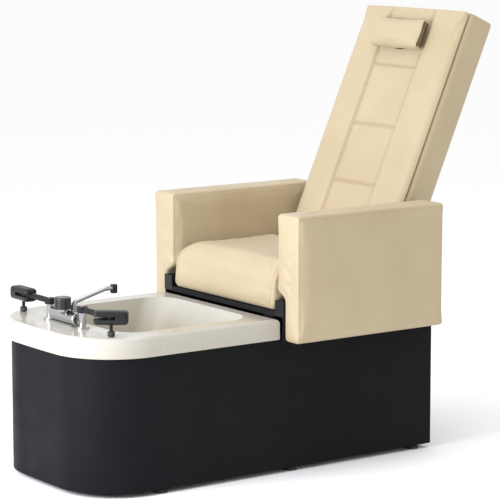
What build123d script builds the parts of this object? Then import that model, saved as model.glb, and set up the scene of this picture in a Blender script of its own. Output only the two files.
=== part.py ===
"""Pedicure spa chair: a cabinet on levelling feet that carries a foot basin at its
front end and, behind it, a box-armed chair on a powered slide with a reclining back.

Units are millimetres.  +Z is up, the basin end points to -Y, X = 0 is the plane of
symmetry.  The origin is on the floor, under the middle of the whole chair.
"""
from build123d import *
from math import cos, sin, tan, radians
import os

os.makedirs("parts", exist_ok=True)

# ---------------------------------------------------------------- driving sizes
# cabinet
cabinet_half_width = 308.0
cabinet_length = 1280.0
cabinet_top = 424.0
cabinet_lift = 15.0
cabinet_wall = 18.0
corner_radius = 197.0
front_bow = 14.0

# basin
rim_height = 64.0
rim_proud = 12.0
rim_band = 20.0
deck_skin = 8.0
front_deck = 162.0
rear_deck = 48.0
side_deck = 58.0
bowl_depth = 215.0
bowl_wall = 6.0
bowl_corner = 85.0
bowl_side_draft = 42.0
bowl_front_draft = 40.0
bowl_rear_draft = 120.0

# chair
arm_length = 586.0
arm_height = 401.0
arm_thickness = 116.0
arm_skirt = 71.0
arm_drop = 8.0
arm_setback = 20.0
arm_notch_height = 134.0
arm_notch_bevel = 25.0
arm_edge = 9.0
core_board = 18.0
seat_thickness = 143.0
pan_thickness = 10.0
beam_height = 49.0
beam_gauge = 6.0
slide_travel = 150.0

# back
recline_rest = 24.0
recline_travel = 26.0
back_height = 925.0
back_front = 60.0
back_rear = 70.0
back_corner = 25.0
back_start = 45.0
back_split = 10.0
hinge_inset = 150.0
hinge_rise = 52.0
hinge_pin_radius = 8.0
lever_drop = 70.0

# headrest
pillow_width = 260.0
pillow_height = 106.0
pillow_depth = 40.0
pillow_from_top = 55.0
headrest_travel = 45.0

# footrests and faucet
fixture_inset = 112.0
post_spacing = 95.0
footrest_reach = 161.0
footrest_turn = 54.0
footrest_pad_length = 106.0
footrest_pad_height = 44.0
footrest_pad_depth = 46.0
faucet_radius = 21.0
faucet_half_length = 70.0
spout_radius = 7.0
spout_reach = 150.0
spout_rise = 52.0
knob_radius = 26.0
knob_offset = 12.0
spout_offset = 28.0
shank_spacing = 25.0

# clearances
rim_slide_gap = 3.0
deck_slide_gap = 7.0
cushion_gap = 3.0
back_side_gap = 20.0
back_seat_gap = 6.0
running_gap = 0.05
loose_gap = 0.5
joint_gap = 0.3
panel_gap = 1.0

# ---------------------------------------------------------------- derived places
rest = radians(recline_rest)
back_tip = (back_height - back_corner) * sin(rest) + (back_rear - back_corner) * cos(rest)
back_reach = back_tip + back_corner - hinge_inset
rear_y = (cabinet_length + rim_proud - back_reach) / 2
cabinet_front = rear_y - cabinet_length
rim_front = cabinet_front - rim_proud
rim_half_width = cabinet_half_width + rim_proud
deck_top = cabinet_top + rim_height

arm_rear = rear_y - arm_setback
arm_front = arm_rear - arm_length
arm_bottom = cabinet_top - arm_drop
arm_top = arm_bottom + arm_height
beam_inner = rim_half_width + rim_slide_gap
beam_outer = beam_inner + beam_gauge
arm_outer = beam_outer + arm_skirt
arm_inner = arm_outer - arm_thickness
notch_top = arm_bottom + arm_notch_height
basin_rear = arm_front - 2 * rim_slide_gap

pan_top = deck_top + deck_slide_gap + 12.0
pan_bottom = pan_top - pan_thickness
beam_face = arm_inner + cushion_gap
beam_top = pan_bottom - 3.0 + beam_height

hinge_y = rear_y - hinge_inset
hinge_z = deck_top + hinge_rise
back_half_width = arm_inner - back_side_gap
up_y, up_z = sin(rest), cos(rest)
out_y, out_z = -cos(rest), sin(rest)


def back_plane(offset=0.0):
    """Plane of the reclined back: local x is X, local y climbs the back, z is its front."""
    origin = (0, hinge_y + offset * out_y, hinge_z + offset * out_z)
    return Plane(origin=origin, x_dir=(1, 0, 0), z_dir=(0, out_y, out_z))


def plan_outline(half_width, front, back, radius):
    """Outline of the cabinet in plan: straight sides, big front corners, a bowed front."""
    with BuildSketch() as outline:
        with BuildLine():
            Line((-half_width, back), (-half_width, front + front_bow))
            ThreePointArc((-half_width, front + front_bow), (0, front), (half_width, front + front_bow))
            Line((half_width, front + front_bow), (half_width, back))
            Line((half_width, back), (-half_width, back))
        make_face()
        fillet(outline.vertices().group_by(Axis.Y)[0], radius)
    return outline.sketch


def write(piece, name):
    """Label a finished piece and write it to its own file."""
    piece.part.label = name
    export_step(piece.part, f"parts/{name}.step")


# ---------------------------------------------------------------- levelling feet and frame
foot_radius = 22.0
foot_pad_height = 9.0
stem_radius = 6.0
angle_leg = 30.0
angle_gauge = 3.0
frame_bottom = 32.0
frame_half_width = cabinet_half_width - cabinet_wall
foot_x = frame_half_width - stem_radius - 5.0
frame_front = cabinet_front + corner_radius + cabinet_wall
frame_rear = rear_y - cabinet_wall
foot_ys = (frame_front + 40.0, (frame_front + frame_rear) / 2, frame_rear - 35.0)
foot_spots = [(side * foot_x, y) for side in (-1, 1) for y in foot_ys]

with BuildPart() as foot_pads:
    with Locations(*[(x, y, 0) for x, y in foot_spots]):
        Cone(foot_radius, foot_radius - 4, foot_pad_height, align=(Align.CENTER, Align.CENTER, Align.MIN))
write(foot_pads, "foot_pads")

with BuildPart() as foot_stems:
    with Locations(*[(x, y, foot_pad_height) for x, y in foot_spots]):
        Cylinder(stem_radius, frame_bottom - foot_pad_height - 8,
                 align=(Align.CENTER, Align.CENTER, Align.MIN))
    with Locations(*[(x, y, frame_bottom - 8) for x, y in foot_spots]):
        Cylinder(stem_radius + 4, 8, align=(Align.CENTER, Align.CENTER, Align.MIN))
write(foot_stems, "foot_stems")

# welded frame of steel angle: two long rails, three cross bars, four posts, two top rails
frame_length = frame_rear - frame_front
post_ys = (basin_rear + 40.0, frame_rear - angle_leg)
with BuildPart() as base_frame:
    for side in (-1, 1):
        wall_x = side * (frame_half_width - angle_gauge / 2)
        leg_x = side * (frame_half_width - angle_leg / 2)
        mid_y = (frame_front + frame_rear) / 2
        with Locations((wall_x, mid_y, frame_bottom + angle_leg / 2)):
            Box(angle_gauge, frame_length, angle_leg)
        with Locations((leg_x, mid_y, frame_bottom + angle_gauge / 2)):
            Box(angle_leg, frame_length, angle_gauge)
        top_length = post_ys[1] + angle_leg - post_ys[0]
        top_y = post_ys[0] + top_length / 2
        with Locations((wall_x, top_y, cabinet_top - angle_leg / 2)):
            Box(angle_gauge, top_length, angle_leg)
        with Locations((leg_x, top_y, cabinet_top - angle_gauge / 2)):
            Box(angle_leg, top_length, angle_gauge)
        for y in post_ys:
            post_height = cabinet_top - frame_bottom
            with Locations((wall_x, y + angle_leg / 2, frame_bottom + post_height / 2)):
                Box(angle_gauge, angle_leg, post_height)
            with Locations((leg_x, y + angle_gauge / 2, frame_bottom + post_height / 2)):
                Box(angle_leg, angle_gauge, post_height)
    for y in (frame_front, (frame_front + frame_rear) / 2, frame_rear - angle_leg):
        with Locations((0, y + angle_leg / 2, frame_bottom + angle_gauge / 2)):
            Box(2 * frame_half_width, angle_leg, angle_gauge)
        with Locations((0, y + angle_gauge / 2, frame_bottom + angle_leg / 2)):
            Box(2 * frame_half_width, angle_gauge, angle_leg)
write(base_frame, "base_frame")

# ---------------------------------------------------------------- cabinet
# bent laminate wall around the front and both sides
with BuildPart() as cabinet_shell:
    with BuildSketch(Plane.XY.offset(cabinet_lift)):
        add(plan_outline(cabinet_half_width, cabinet_front, rear_y, corner_radius))
        add(plan_outline(frame_half_width, cabinet_front + cabinet_wall, rear_y + cabinet_wall,
                         corner_radius - cabinet_wall), mode=Mode.SUBTRACT)
    extrude(amount=cabinet_top - cabinet_lift)
write(cabinet_shell, "cabinet_shell")

# removable rear panel, with openings for the plumbing and the mains inlet
pipe_radius = 20.0
pipe_x = -110.0
pipe_z = 120.0
hose_radius = 7.0
hose_inset = 108.0
hose_x = cabinet_half_width - hose_inset
hose_z = 100.0
inlet_radius = 10.5
inlet_width = 28.0
inlet_height = 20.0
inlet_z = 300.0
panel_half_width = frame_half_width - panel_gap
panel_y = rear_y - cabinet_wall
with BuildPart() as rear_panel:
    with BuildSketch(Plane.XZ.offset(-panel_y)):
        with Locations((0, (cabinet_lift + cabinet_top) / 2)):
            Rectangle(2 * panel_half_width, cabinet_top - cabinet_lift)
        with Locations((pipe_x, pipe_z)):
            Circle(pipe_radius + loose_gap, mode=Mode.SUBTRACT)
        with Locations((hose_x, hose_z), (-hose_x, hose_z)):
            Circle(inlet_radius + loose_gap, mode=Mode.SUBTRACT)
        with Locations((0, inlet_z)):
            Rectangle(inlet_width + 2 * loose_gap, inlet_height + 2 * loose_gap, mode=Mode.SUBTRACT)
        with GridLocations(2 * (frame_half_width - angle_leg / 2), 0, 2, 1):
            with Locations((0, 80.0), (0, 250.0), (0, cabinet_top - 20.0)):
                Circle(2.2, mode=Mode.SUBTRACT)
    extrude(amount=-cabinet_wall)
write(rear_panel, "rear_panel")

with BuildPart() as panel_screws:
    for side in (-1, 1):
        for z in (80.0, 250.0, cabinet_top - 20.0):
            with BuildSketch(Plane.XZ.offset(-rear_y)):
                with Locations((side * (frame_half_width - angle_leg / 2), z)):
                    Circle(4.5)
            extrude(amount=-2.2)
            with BuildSketch(Plane.XZ.offset(-rear_y)):
                with Locations((side * (frame_half_width - angle_leg / 2), z)):
                    Circle(2.2)
            extrude(amount=cabinet_wall)
write(panel_screws, "panel_screws")

# board that closes the cabinet under the chair and carries the slide rails
board_thickness = 18.0
board_front = basin_rear + panel_gap
board_top = cabinet_top + board_thickness
with BuildPart() as seat_board:
    with Locations((0, (board_front + rear_y) / 2, cabinet_top + board_thickness / 2)):
        Box(2 * cabinet_half_width, rear_y - board_front, board_thickness)
    fillet(seat_board.edges().filter_by(Axis.Z), 5)
write(seat_board, "seat_board")

# ---------------------------------------------------------------- basin
bowl_half_width = cabinet_half_width - side_deck
bowl_front = rim_front + front_deck
bowl_rear = basin_rear - rear_deck
bowl_y = (bowl_front + bowl_rear) / 2
floor_front = bowl_front + bowl_front_draft
floor_rear = bowl_rear - bowl_rear_draft
floor_y = (floor_front + floor_rear) / 2
floor_z = deck_top - bowl_depth
floor_half_width = bowl_half_width - bowl_side_draft
fixture_y = rim_front + fixture_inset
drain_x = pipe_x
drain_y = floor_front + 90.0
drain_hole = 24.0
jet_x = 70.0
jet_y = floor_rear - 110.0
jet_hole = 52.0
shank_radius = 8.0
post_shank = 7.0

with BuildPart() as basin:
    with BuildSketch(Plane.XY.offset(cabinet_top)):
        add(plan_outline(rim_half_width, rim_front, basin_rear, corner_radius + rim_proud))
    extrude(amount=rim_height)
    fillet(basin.faces().sort_by(Axis.Z)[-1].edges(), 13)
    fillet(basin.faces().sort_by(Axis.Z)[0].edges(), 4)
    with BuildSketch(Plane.XY.offset(cabinet_top)):
        add(plan_outline(rim_half_width - rim_band, rim_front + rim_band, basin_rear - rim_band,
                         corner_radius + rim_proud - rim_band))
    extrude(amount=rim_height - deck_skin, mode=Mode.SUBTRACT)
    with BuildSketch(Plane((0, bowl_y, deck_top - deck_skin / 2))):
        RectangleRounded(2 * (bowl_half_width + bowl_wall), bowl_rear - bowl_front + 2 * bowl_wall,
                         bowl_corner + bowl_wall)
    with BuildSketch(Plane((0, floor_y, floor_z - bowl_wall))):
        RectangleRounded(2 * (floor_half_width + bowl_wall), floor_rear - floor_front + 2 * bowl_wall,
                         bowl_corner - 20 + bowl_wall)
    loft()
    with BuildSketch(Plane((0, bowl_y, deck_top))):
        RectangleRounded(2 * bowl_half_width, bowl_rear - bowl_front, bowl_corner)
    with BuildSketch(Plane((0, floor_y, floor_z))):
        RectangleRounded(2 * floor_half_width, floor_rear - floor_front, bowl_corner - 20)
    loft(mode=Mode.SUBTRACT)
    with Locations((drain_x, drain_y, floor_z)):
        Cylinder(drain_hole, 3 * bowl_wall, mode=Mode.SUBTRACT)
    with Locations((jet_x, jet_y, floor_z)):
        Cylinder(jet_hole, 3 * bowl_wall, mode=Mode.SUBTRACT)
    with Locations((-shank_spacing, fixture_y, deck_top), (shank_spacing, fixture_y, deck_top)):
        Cylinder(shank_radius + loose_gap, 3 * deck_skin, mode=Mode.SUBTRACT)
    with Locations((-post_spacing, fixture_y, deck_top), (post_spacing, fixture_y, deck_top)):
        Cylinder(post_shank + loose_gap, 3 * deck_skin, mode=Mode.SUBTRACT)
write(basin, "basin")

# waste: strainer ring in the floor, lift-out stopper, tail pipe with an elbow to the rear
strainer_flange = 34.0
tail_radius = 19.0
with BuildPart() as drain_strainer:
    with Locations((drain_x, drain_y, floor_z)):
        Cylinder(strainer_flange, 2.5, align=(Align.CENTER, Align.CENTER, Align.MIN))
        Cylinder(drain_hole, 24, align=(Align.CENTER, Align.CENTER, Align.MAX))
        Cylinder(drain_hole - 4, 80, mode=Mode.SUBTRACT)
    with Locations((drain_x, drain_y, floor_z - 18)):
        Box(2 * drain_hole - 4, 3, 4)
        Box(3, 2 * drain_hole - 4, 4)
write(drain_strainer, "drain_strainer")

stopper_travel = 14.0
with BuildPart() as drain_stopper:
    with Locations((drain_x, drain_y, floor_z + 2.5 + joint_gap)):
        Cylinder(drain_hole + 3, 4, align=(Align.CENTER, Align.CENTER, Align.MIN))
    with Locations((drain_x, drain_y, floor_z + 6.5 + joint_gap)):
        Cylinder(9, 8, align=(Align.CENTER, Align.CENTER, Align.MIN))
    with Locations((drain_x, drain_y, floor_z + 2.5 + joint_gap)):
        Cylinder(drain_hole - 6, stopper_travel + 3, align=(Align.CENTER, Align.CENTER, Align.MAX))
write(drain_stopper, "drain_stopper")

pipe_bend = 45.0
pipe_collar = 5.0
pipe_end = rear_y + pipe_collar + 40.0
pipe_top = floor_z - 24.0
with BuildPart() as drain_pipe:
    with BuildLine() as pipe_path:
        FilletPolyline((drain_x, drain_y, pipe_top), (drain_x, drain_y, pipe_z),
                       (drain_x, pipe_end, pipe_z), radius=pipe_bend)
    with BuildSketch(Plane((drain_x, drain_y, pipe_top))):
        Circle(pipe_radius)
        Circle(pipe_radius - 2.5, mode=Mode.SUBTRACT)
    sweep()
    with BuildSketch(Plane.XZ.offset(-rear_y)):
        with Locations((drain_x, pipe_z)):
            Circle(pipe_radius + 5)
            Circle(pipe_radius - 1, mode=Mode.SUBTRACT)
    extrude(amount=-pipe_collar)
write(drain_pipe, "drain_pipe")

# ---------------------------------------------------------------- whirlpool jet under the floor
jet_housing_radius = 62.0
jet_housing_height = 46.0
jet_motor_radius = 48.0
jet_motor_height = 95.0
impeller_radius = 40.0
shaft_radius = 4.0
jet_under = floor_z - bowl_wall
with BuildPart() as jet_cover:
    with Locations((jet_x, jet_y, floor_z)):
        Cylinder(jet_hole + 10, 4, align=(Align.CENTER, Align.CENTER, Align.MIN))
    with BuildSketch(Plane((jet_x, jet_y, floor_z))):
        with PolarLocations(30, 12):
            SlotOverall(24, 5, mode=Mode.ADD)
    extrude(amount=4, mode=Mode.SUBTRACT)
    fillet(jet_cover.faces().sort_by(Axis.Z)[-1].outer_wire().edges(), 2)
write(jet_cover, "jet_cover")

with BuildPart() as jet_housing:
    with Locations((jet_x, jet_y, jet_under)):
        Cylinder(jet_housing_radius, jet_housing_height, align=(Align.CENTER, Align.CENTER, Align.MAX))
    with Locations((jet_x, jet_y, jet_under)):
        Cylinder(jet_hole - 6, 2 * (jet_housing_height - 5), mode=Mode.SUBTRACT)
    with Locations((jet_x, jet_y, jet_under - jet_housing_height)):
        Cylinder(shaft_radius + 0.6, 3 * bowl_wall, mode=Mode.SUBTRACT)
write(jet_housing, "jet_housing")

with BuildPart() as jet_impeller:
    hub_z = jet_under - jet_housing_height + 9.0
    with Locations((jet_x, jet_y, hub_z)):
        Cylinder(10, 22, align=(Align.CENTER, Align.CENTER, Align.MIN))
        Cylinder(impeller_radius, 3, align=(Align.CENTER, Align.CENTER, Align.MIN))
    with Locations((jet_x, jet_y, hub_z + 10)):
        with PolarLocations(24, 6):
            Box(30, 3, 14)
    with Locations((jet_x, jet_y, jet_under - jet_housing_height - 8)):
        Cylinder(shaft_radius, 30, align=(Align.CENTER, Align.CENTER, Align.MIN))
write(jet_impeller, "jet_impeller")

with BuildPart() as jet_motor:
    motor_top = jet_under - jet_housing_height
    with Locations((jet_x, jet_y, motor_top)):
        Cylinder(jet_motor_radius, jet_motor_height, align=(Align.CENTER, Align.CENTER, Align.MAX))
    with Locations((jet_x, jet_y, motor_top - jet_motor_height / 2)):
        with PolarLocations(jet_motor_radius + 2, 16):
            Box(8, 3, jet_motor_height - 24)
    with Locations((jet_x, jet_y, motor_top)):
        Cylinder(shaft_radius + 0.6, 24, mode=Mode.SUBTRACT)
write(jet_motor, "jet_motor")

# ---------------------------------------------------------------- faucet
faucet_z = deck_top + faucet_radius + 1.5
shank_length = 52.0
spout_y = fixture_y + spout_offset
knob_y = fixture_y - knob_offset
spout_hole = 9.0
with BuildPart() as faucet_body:
    with BuildSketch(Plane.YZ.offset(-faucet_half_length)):
        with Locations((fixture_y, faucet_z)):
            Circle(faucet_radius)
    extrude(amount=2 * faucet_half_length)
    fillet(faucet_body.edges(), 4)
    with Locations((0, fixture_y, deck_top)):
        Box(2 * faucet_half_length - 12, 2 * faucet_radius - 2, 6,
            align=(Align.CENTER, Align.CENTER, Align.MIN))
    with Locations((-shank_spacing, fixture_y, deck_top + 10), (shank_spacing, fixture_y, deck_top + 10)):
        Cylinder(shank_radius, shank_length + 10, align=(Align.CENTER, Align.CENTER, Align.MAX))
    with Locations((0, knob_y, faucet_z + faucet_radius - 4)):
        Cylinder(knob_radius - 8, 8, align=(Align.CENTER, Align.CENTER, Align.MIN))
    with Locations((0, spout_y, faucet_z - 6)):
        Cylinder(11, 34, align=(Align.CENTER, Align.CENTER, Align.MIN))
    with Locations((0, knob_y, faucet_z + faucet_radius)):
        Cylinder(5 + running_gap, 30, mode=Mode.SUBTRACT)
    with Locations((0, spout_y, faucet_z + 28)):
        Cylinder(spout_hole + running_gap, 24, mode=Mode.SUBTRACT)
write(faucet_body, "faucet_body")

with BuildPart() as shank_nuts:
    with Locations((0, fixture_y, deck_top - deck_skin)):
        with GridLocations(2 * shank_spacing, 0, 2, 1):
            Cylinder(14, 9, align=(Align.CENTER, Align.CENTER, Align.MAX))
    with Locations((0, fixture_y, deck_top)):
        with GridLocations(2 * shank_spacing, 0, 2, 1):
            Cylinder(shank_radius, 60, mode=Mode.SUBTRACT)
write(shank_nuts, "shank_nuts")

knob_bottom = faucet_z + faucet_radius + 4.0 + joint_gap
knob_height = 36.0
with BuildPart() as mixer_knob:
    with Locations((0, knob_y, knob_bottom)):
        Cylinder(knob_radius, knob_height, align=(Align.CENTER, Align.CENTER, Align.MIN))
    fillet(mixer_knob.faces().sort_by(Axis.Z)[-1].edges(), 5)
    with Locations((0, knob_y, knob_bottom)):
        with PolarLocations(knob_radius + 0.6, 10):
            Cylinder(2.6, knob_height - 7, align=(Align.CENTER, Align.CENTER, Align.MIN),
                     mode=Mode.SUBTRACT)
    with Locations((0, knob_y, knob_bottom)):
        Cylinder(5, 16, align=(Align.CENTER, Align.CENTER, Align.MAX))
write(mixer_knob, "mixer_knob")

spout_foot = faucet_z + 19.0
spout_end_y = spout_y + spout_reach - 12.0
spout_top = spout_foot + spout_rise
with BuildPart() as spout:
    with Locations((0, spout_y, spout_foot)):
        Cylinder(spout_hole, 12, align=(Align.CENTER, Align.CENTER, Align.MIN))
    with Locations((0, spout_y, spout_foot + 9 + joint_gap)):
        Cylinder(11, 5, align=(Align.CENTER, Align.CENTER, Align.MIN))
    with BuildLine():
        FilletPolyline((0, spout_y, spout_foot + 10), (0, spout_y, spout_foot + 22),
                       (0, spout_end_y - 28, spout_top), (0, spout_end_y, spout_top), radius=11)
    with BuildSketch(Plane((0, spout_y, spout_foot + 10))):
        Circle(spout_radius)
    sweep()
write(spout, "spout")

nozzle_radius = 11.0
nozzle_socket = 6.0
nozzle_top = spout_top + 11.0
with BuildPart() as spout_nozzle:
    with Locations((0, spout_end_y + nozzle_radius - nozzle_socket, nozzle_top)):
        Cylinder(nozzle_radius, 27, align=(Align.CENTER, Align.CENTER, Align.MAX))
    fillet(spout_nozzle.edges(), 2.5)
    with BuildSketch(Plane.XZ.offset(-spout_end_y)):
        with Locations((0, spout_top)):
            Circle(spout_radius)
    extrude(amount=2 * nozzle_socket, mode=Mode.SUBTRACT)
write(spout_nozzle, "spout_nozzle")

# ---------------------------------------------------------------- footrests
# each one: a post on the front deck, a swing arm that turns on the post and ends in a flat
# tongue, a pad slotted over the tongue that turns on its pin, and a skid under the pin
post_radius = 11.0
post_pin = 6.0
collar_radius = 20.0
post_height = 48.0
hub_radius = 16.0
hub_height = 18.0
arm_tube = 9.0
tongue_width = 24.0
tongue_gauge = 8.0
slot_gauge = tongue_gauge + 2.0
arm_bar_z = deck_top + post_height + joint_gap
tongue_z = arm_bar_z + hub_height / 2
rest_pin_radius = 5.0
skid_radius = 11.0
skid_height = 14.0
skid_lift = 1.0
pad_bottom = tongue_z - footrest_pad_height / 2
for side, name in ((-1, "left"), (1, "right")):
    post_x = side * post_spacing
    rest_x = side * (post_spacing + footrest_reach)
    turn = 0.0 if side < 0 else footrest_turn
    with BuildPart() as footrest_post:
        with Locations((post_x, fixture_y, deck_top)):
            Cylinder(collar_radius, 6, align=(Align.CENTER, Align.CENTER, Align.MIN))
            Cylinder(post_radius, post_height, align=(Align.CENTER, Align.CENTER, Align.MIN))
            Cylinder(post_shank, deck_skin + 14, align=(Align.CENTER, Align.CENTER, Align.MAX))
        with Locations((post_x, fixture_y, deck_top + post_height)):
            Cylinder(post_pin, hub_height + 3, align=(Align.CENTER, Align.CENTER, Align.MIN))
        with Locations((post_x, fixture_y, deck_top - deck_skin)):
            Cylinder(13, 6, align=(Align.CENTER, Align.CENTER, Align.MAX))
    write(footrest_post, f"footrest_post_{name}")

    tube_end = post_spacing + footrest_reach - footrest_pad_length / 2 - 6.0
    with BuildPart() as footrest_arm:
        with Locations((post_x, fixture_y, arm_bar_z)):
            Cylinder(hub_radius, hub_height, align=(Align.CENTER, Align.CENTER, Align.MIN))
        with BuildSketch(Plane.YZ.offset(post_x)):
            with Locations((fixture_y, tongue_z)):
                Circle(arm_tube)
        extrude(amount=side * (tube_end - post_spacing))
        with Locations(((post_x + rest_x) / 2, fixture_y, tongue_z)):
            Box(footrest_reach, tongue_width, tongue_gauge)
        with Locations((rest_x, fixture_y, tongue_z)):
            Cylinder(tongue_width / 2, tongue_gauge)
            Cylinder(rest_pin_radius, tongue_z - deck_top - skid_lift - 4,
                     align=(Align.CENTER, Align.CENTER, Align.MAX))
        with Locations((post_x, fixture_y, arm_bar_z)):
            Cylinder(post_pin + running_gap, 3 * hub_height, mode=Mode.SUBTRACT)
    write(footrest_arm, f"footrest_arm_{name}")

    with BuildPart() as arm_skid:
        with Locations((rest_x, fixture_y, deck_top + skid_lift)):
            Cylinder(skid_radius, skid_height, align=(Align.CENTER, Align.CENTER, Align.MIN))
        with Locations((rest_x, fixture_y, deck_top + skid_lift + 4)):
            Cylinder(rest_pin_radius, 2 * skid_height, align=(Align.CENTER, Align.CENTER, Align.MIN),
                     mode=Mode.SUBTRACT)
        fillet(arm_skid.faces().sort_by(Axis.Z)[0].edges(), 3)
    write(arm_skid, f"footrest_skid_{name}")

    pad_plane = Plane(origin=(rest_x, fixture_y, pad_bottom),
                      x_dir=(cos(radians(turn)), sin(radians(turn)), 0), z_dir=(0, 0, 1))
    slot_plane = Plane(origin=(rest_x, fixture_y, tongue_z - slot_gauge / 2),
                       x_dir=(cos(radians(turn)), sin(radians(turn)), 0), z_dir=(0, 0, 1))
    slot_end = tongue_width / 2 + 1.5
    slot_length = footrest_pad_length / 2 + slot_end
    with BuildPart() as footrest_pad:
        with BuildSketch(pad_plane):
            RectangleRounded(footrest_pad_length, footrest_pad_depth, 9)
        extrude(amount=footrest_pad_height)
        fillet(footrest_pad.faces().sort_by(Axis.Z)[-1].edges(), 6)
        fillet(footrest_pad.faces().sort_by(Axis.Z)[0].edges(), 6)
        with BuildSketch(slot_plane):
            with Locations((side * (slot_end - slot_length / 2), 0)):
                Rectangle(slot_length, 2 * footrest_pad_depth)
        extrude(amount=slot_gauge, mode=Mode.SUBTRACT)
        with BuildSketch(pad_plane):
            Circle(rest_pin_radius + running_gap)
        extrude(amount=footrest_pad_height / 2, mode=Mode.SUBTRACT)
    write(footrest_pad, f"footrest_pad_{name}")

# ---------------------------------------------------------------- supply hoses and services
hose_top = deck_top - shank_length
hose_bend = 55.0
hose_end = rear_y - 60.0
nut_radius = 16.0
nut_length = 8.0
inlet_end = rear_y + nut_length + 25.0
with BuildPart() as supply_hoses:
    for side in (-1, 1):
        with BuildLine():
            FilletPolyline((side * shank_spacing, fixture_y, hose_top),
                           (side * shank_spacing, fixture_y, hose_z),
                           (side * hose_x, fixture_y + 60, hose_z),
                           (side * hose_x, hose_end, hose_z), radius=hose_bend)
        with BuildSketch(Plane((side * shank_spacing, fixture_y, hose_top))):
            Circle(hose_radius)
        sweep()
write(supply_hoses, "supply_hoses")

with BuildPart() as water_inlets:
    for side in (-1, 1):
        with BuildSketch(Plane.XZ.offset(-hose_end)):
            with Locations((side * hose_x, hose_z)):
                Circle(inlet_radius)
        extrude(amount=-(inlet_end - hose_end))
        for nut_front in (rear_y - cabinet_wall - nut_length, rear_y):
            with BuildSketch(Plane.XZ.offset(-nut_front)):
                with Locations((side * hose_x, hose_z)):
                    RegularPolygon(nut_radius, 6)
            extrude(amount=-nut_length)
write(water_inlets, "water_inlets")

with BuildPart() as power_inlet:
    with Locations((0, rear_y - 24, inlet_z)):
        Box(inlet_width, 48, inlet_height)
    with Locations((0, rear_y + 1.5, inlet_z)):
        Box(inlet_width + 20, 3, inlet_height + 8)
    with Locations((0, rear_y, inlet_z)):
        Box(inlet_width - 6, 30, inlet_height - 6, mode=Mode.SUBTRACT)
    with Locations((-6, rear_y - 12, inlet_z), (0, rear_y - 12, inlet_z + 3), (6, rear_y - 12, inlet_z)):
        Box(2, 10, 5)
write(power_inlet, "power_inlet")

box_shelf = frame_bottom + angle_gauge
shelf_front = (frame_front + frame_rear) / 2 + angle_gauge
shelf_rear = frame_rear - angle_leg
shelf_x = 60.0
with BuildPart() as service_shelf:
    with Locations((shelf_x, shelf_front, box_shelf)):
        Box(220, shelf_rear - shelf_front, 3, align=(Align.CENTER, Align.MIN, Align.MIN))
write(service_shelf, "service_shelf")

with BuildPart() as control_box:
    with Locations((shelf_x, (shelf_front + shelf_rear) / 2, box_shelf + 3)):
        Box(160, 110, 70, align=(Align.CENTER, Align.CENTER, Align.MIN))
    fillet(control_box.edges().filter_by(Axis.Z), 6)
write(control_box, "control_box")

# ---------------------------------------------------------------- chair slide
rail_x = 200.0
rail_width = 24.0
rail_height = 20.0
rail_front = board_front + 8.0
rail_rear = arm_rear - 24.0
block_length = 70.0
block_width = 44.0
block_ys = (arm_front + 220.0, arm_rear - 60.0)
with BuildPart() as slide_rails:
    for side in (-1, 1):
        with Locations((side * rail_x, (rail_front + rail_rear) / 2, board_top)):
            Box(rail_width, rail_rear - rail_front, rail_height,
                align=(Align.CENTER, Align.CENTER, Align.MIN))
write(slide_rails, "slide_rails")

with BuildPart() as slide_blocks:
    for side in (-1, 1):
        for y in block_ys:
            with Locations((side * rail_x, y, board_top + 4)):
                Box(block_width, block_length, pan_bottom - board_top - 4,
                    align=(Align.CENTER, Align.CENTER, Align.MIN))
            with Locations((side * rail_x, y, board_top)):
                Box(rail_width + 2 * loose_gap, block_length, rail_height + loose_gap,
                    align=(Align.CENTER, Align.CENTER, Align.MIN), mode=Mode.SUBTRACT)
write(slide_blocks, "slide_blocks")

# slide drive: tube fixed to the board, screw fixed under the rear cross bar
cross_rear = arm_rear - 40.0
drive_x = 110.0
drive_z = board_top + 26.0
drive_tube = 15.0
drive_screw = 7.0
tail_length = 14.0
screw_tail = cross_rear - 27.0
drive_rear = screw_tail - slide_travel - 12.0
drive_length = slide_travel + 60.0
with BuildPart() as slide_drive:
    with BuildSketch(Plane.XZ.offset(-(drive_rear - drive_length))):
        with Locations((drive_x, drive_z)):
            Circle(drive_tube)
            Circle(drive_screw + loose_gap, mode=Mode.SUBTRACT)
    extrude(amount=-drive_length)
    with Locations((drive_x, drive_rear - drive_length, board_top)):
        Box(50, 46, 46, align=(Align.CENTER, Align.MAX, Align.MIN))
    with Locations((drive_x, drive_rear - 30, board_top)):
        Box(2 * drive_tube, 26, drive_z - board_top - drive_tube + 2,
            align=(Align.CENTER, Align.CENTER, Align.MIN))
write(slide_drive, "slide_drive")

with BuildPart() as slide_screw:
    with BuildSketch(Plane.XZ.offset(-(drive_rear - 30))):
        with Locations((drive_x, drive_z)):
            Circle(drive_screw)
    extrude(amount=-(screw_tail - drive_rear + 30))
    with Locations((drive_x, screw_tail, pan_bottom)):
        Box(30, tail_length, pan_bottom - drive_z + drive_screw + 4,
            align=(Align.CENTER, Align.MIN, Align.MAX))
write(slide_screw, "slide_screw")

# ---------------------------------------------------------------- chair frame
pan_rear = hinge_y - 50.0
with BuildPart() as seat_pan:
    with Locations((0, arm_front, pan_bottom)):
        Box(2 * beam_face, pan_rear - arm_front, pan_thickness,
            align=(Align.CENTER, Align.MIN, Align.MIN))
    with Locations((0, arm_front, pan_bottom)):
        Box(2 * beam_face, 12, pan_bottom - deck_top - 4, align=(Align.CENTER, Align.MIN, Align.MAX))
write(seat_pan, "seat_pan")

with BuildPart() as rear_crossbar:
    with Locations((0, cross_rear, pan_bottom)):
        Box(2 * beam_face, 40, pan_thickness, align=(Align.CENTER, Align.MAX, Align.MIN))
write(rear_crossbar, "rear_crossbar")

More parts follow.
